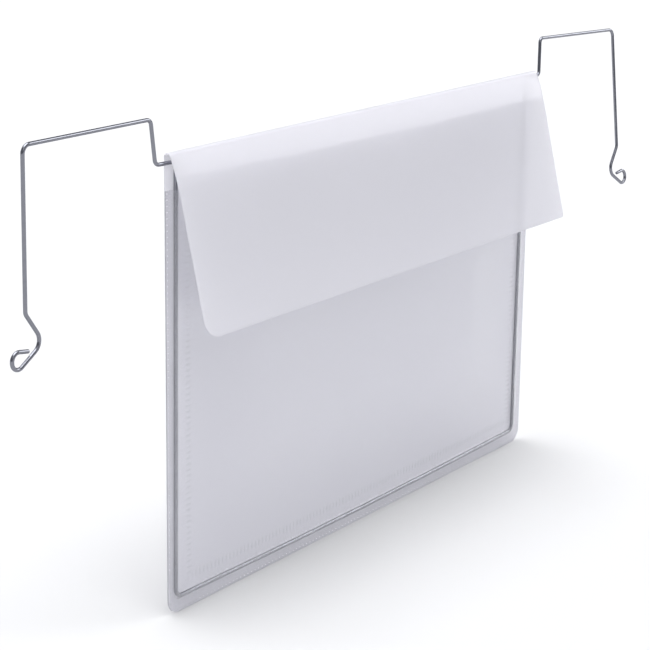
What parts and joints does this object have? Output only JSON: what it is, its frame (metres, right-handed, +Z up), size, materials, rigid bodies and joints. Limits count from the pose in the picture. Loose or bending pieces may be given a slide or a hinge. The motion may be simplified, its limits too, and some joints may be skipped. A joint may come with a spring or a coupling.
{
  "type": "hanging document pocket",
  "caption": "Clear landscape document pocket with a rain flap, welded round a bent steel wire frame whose hanger arms hook over a rim or mesh.",
  "frame": {"origin": "middle of the pocket's width, on the plane of the wire, at the underside of the left hanger arm where it rests on a rim or bar", "axes": "+X to the right along the pocket, +Y to the rear, +Z up; the flap and the pocket's mouth face -Y"},
  "size_m": [0.5397, 0.0274, 0.2522],
  "materials": {
    "zinc_wire": "bright drawn zinc-plated wire",
    "frosted_film": "frosted translucent polypropylene sheet",
    "clear_film": "clear glossy polypropylene film"
  },
  "bodies": {
    "pocket": {"wire_frame": "zinc_wire", "back_sheet": "frosted_film", "front_sheet": "clear_film", "fold_crease": "frosted_film"},
    "flap": {"rain_flap": "frosted_film"}
  },
  "joints": [
    {"name": "flap_hinge", "type": "hinge", "parent": "pocket", "child": "flap", "pos_m": [0, -0.00055, -0.0182], "axis": [-1, 0, 0], "range_deg": [-9.5, 160], "stiffness_Nm_per_rad": 0.01, "springref_deg": 9.53, "deforming": ["fold_crease"]}
  ]
}
